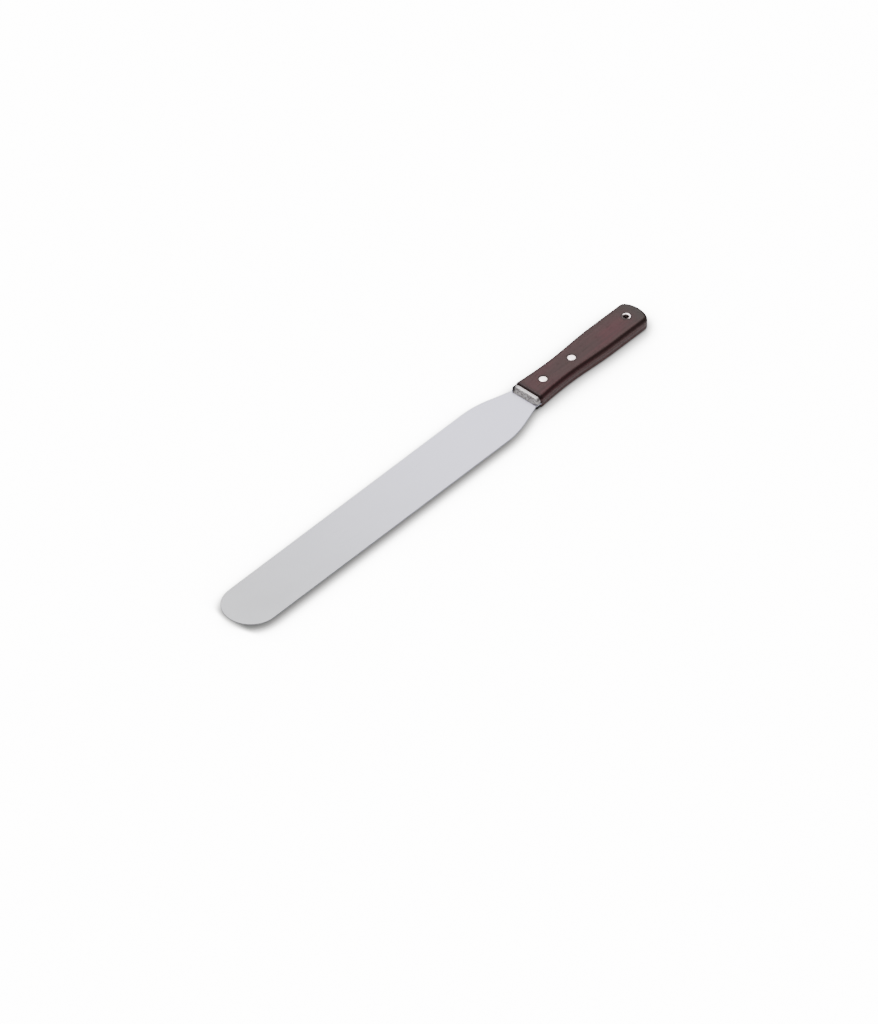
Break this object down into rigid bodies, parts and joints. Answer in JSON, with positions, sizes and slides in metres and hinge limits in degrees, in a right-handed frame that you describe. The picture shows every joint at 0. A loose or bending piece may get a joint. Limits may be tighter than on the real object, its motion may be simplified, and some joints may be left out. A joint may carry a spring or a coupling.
{
  "type": "icing spatula",
  "caption": "Straight round-tipped icing spatula: long flexible blade with a full tang, wood scales, bolsters, rivets and a hanging hole.",
  "frame": {"origin": "centre of the hanging hole, on the blade's mid-plane", "axes": "+X along the tool from the hanging hole to the blade's tip, +Y across the blade, +Z out of the upper scale"},
  "size_m": [0.4269, 0.0422, 0.011],
  "materials": {
    "blade_steel": "fine satin brushed along the blade",
    "handle_wood": "dark red-brown laminated wood under clear lacquer",
    "bolster_steel": "polished rims with a cast front face",
    "rivet_metal": "polished",
    "tube_metal": "bright drawn tube"
  },
  "bodies": {
    "root": {"blade": "blade_steel", "upper_scale": "handle_wood", "lower_scale": "handle_wood", "bolster_upper": "bolster_steel", "bolster_lower": "bolster_steel", "front_rivet_tube": "rivet_metal", "front_rivet_pin": "rivet_metal", "rear_rivet_tube": "rivet_metal", "rear_rivet_pin": "rivet_metal", "hang_tube": "tube_metal"}
  },
  "joints": []
}
